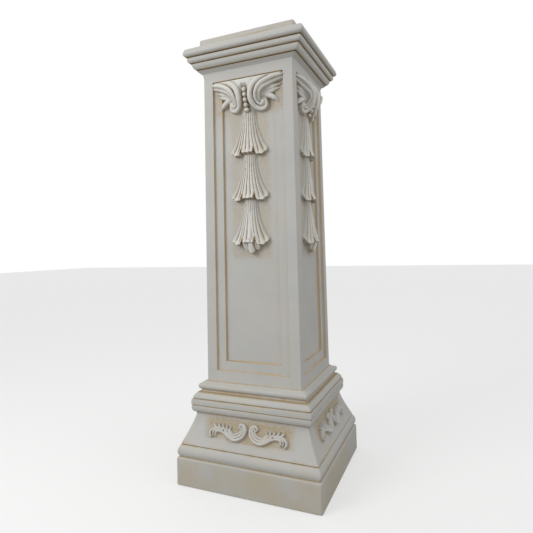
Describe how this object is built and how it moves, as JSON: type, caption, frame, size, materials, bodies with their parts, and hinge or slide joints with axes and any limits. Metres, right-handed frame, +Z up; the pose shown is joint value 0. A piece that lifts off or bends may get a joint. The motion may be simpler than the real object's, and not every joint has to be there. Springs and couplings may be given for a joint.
{
  "type": "square pedestal column",
  "caption": "Square pedestal column with a flared base, panelled shaft with leaf capitals and bellflower drops, and a stepped cornice with a flat top.",
  "frame": {"origin": "centre of the underside of the square plinth", "axes": "+Z up along the shaft, the front face looks toward -Y"},
  "size_m": [0.334, 0.334, 1],
  "materials": {
    "cast_stone": "matte antiqued ivory paint, ochre wash in the hollows"
  },
  "bodies": {
    "root": {"pedestal_column": "cast_stone"}
  },
  "joints": []
}
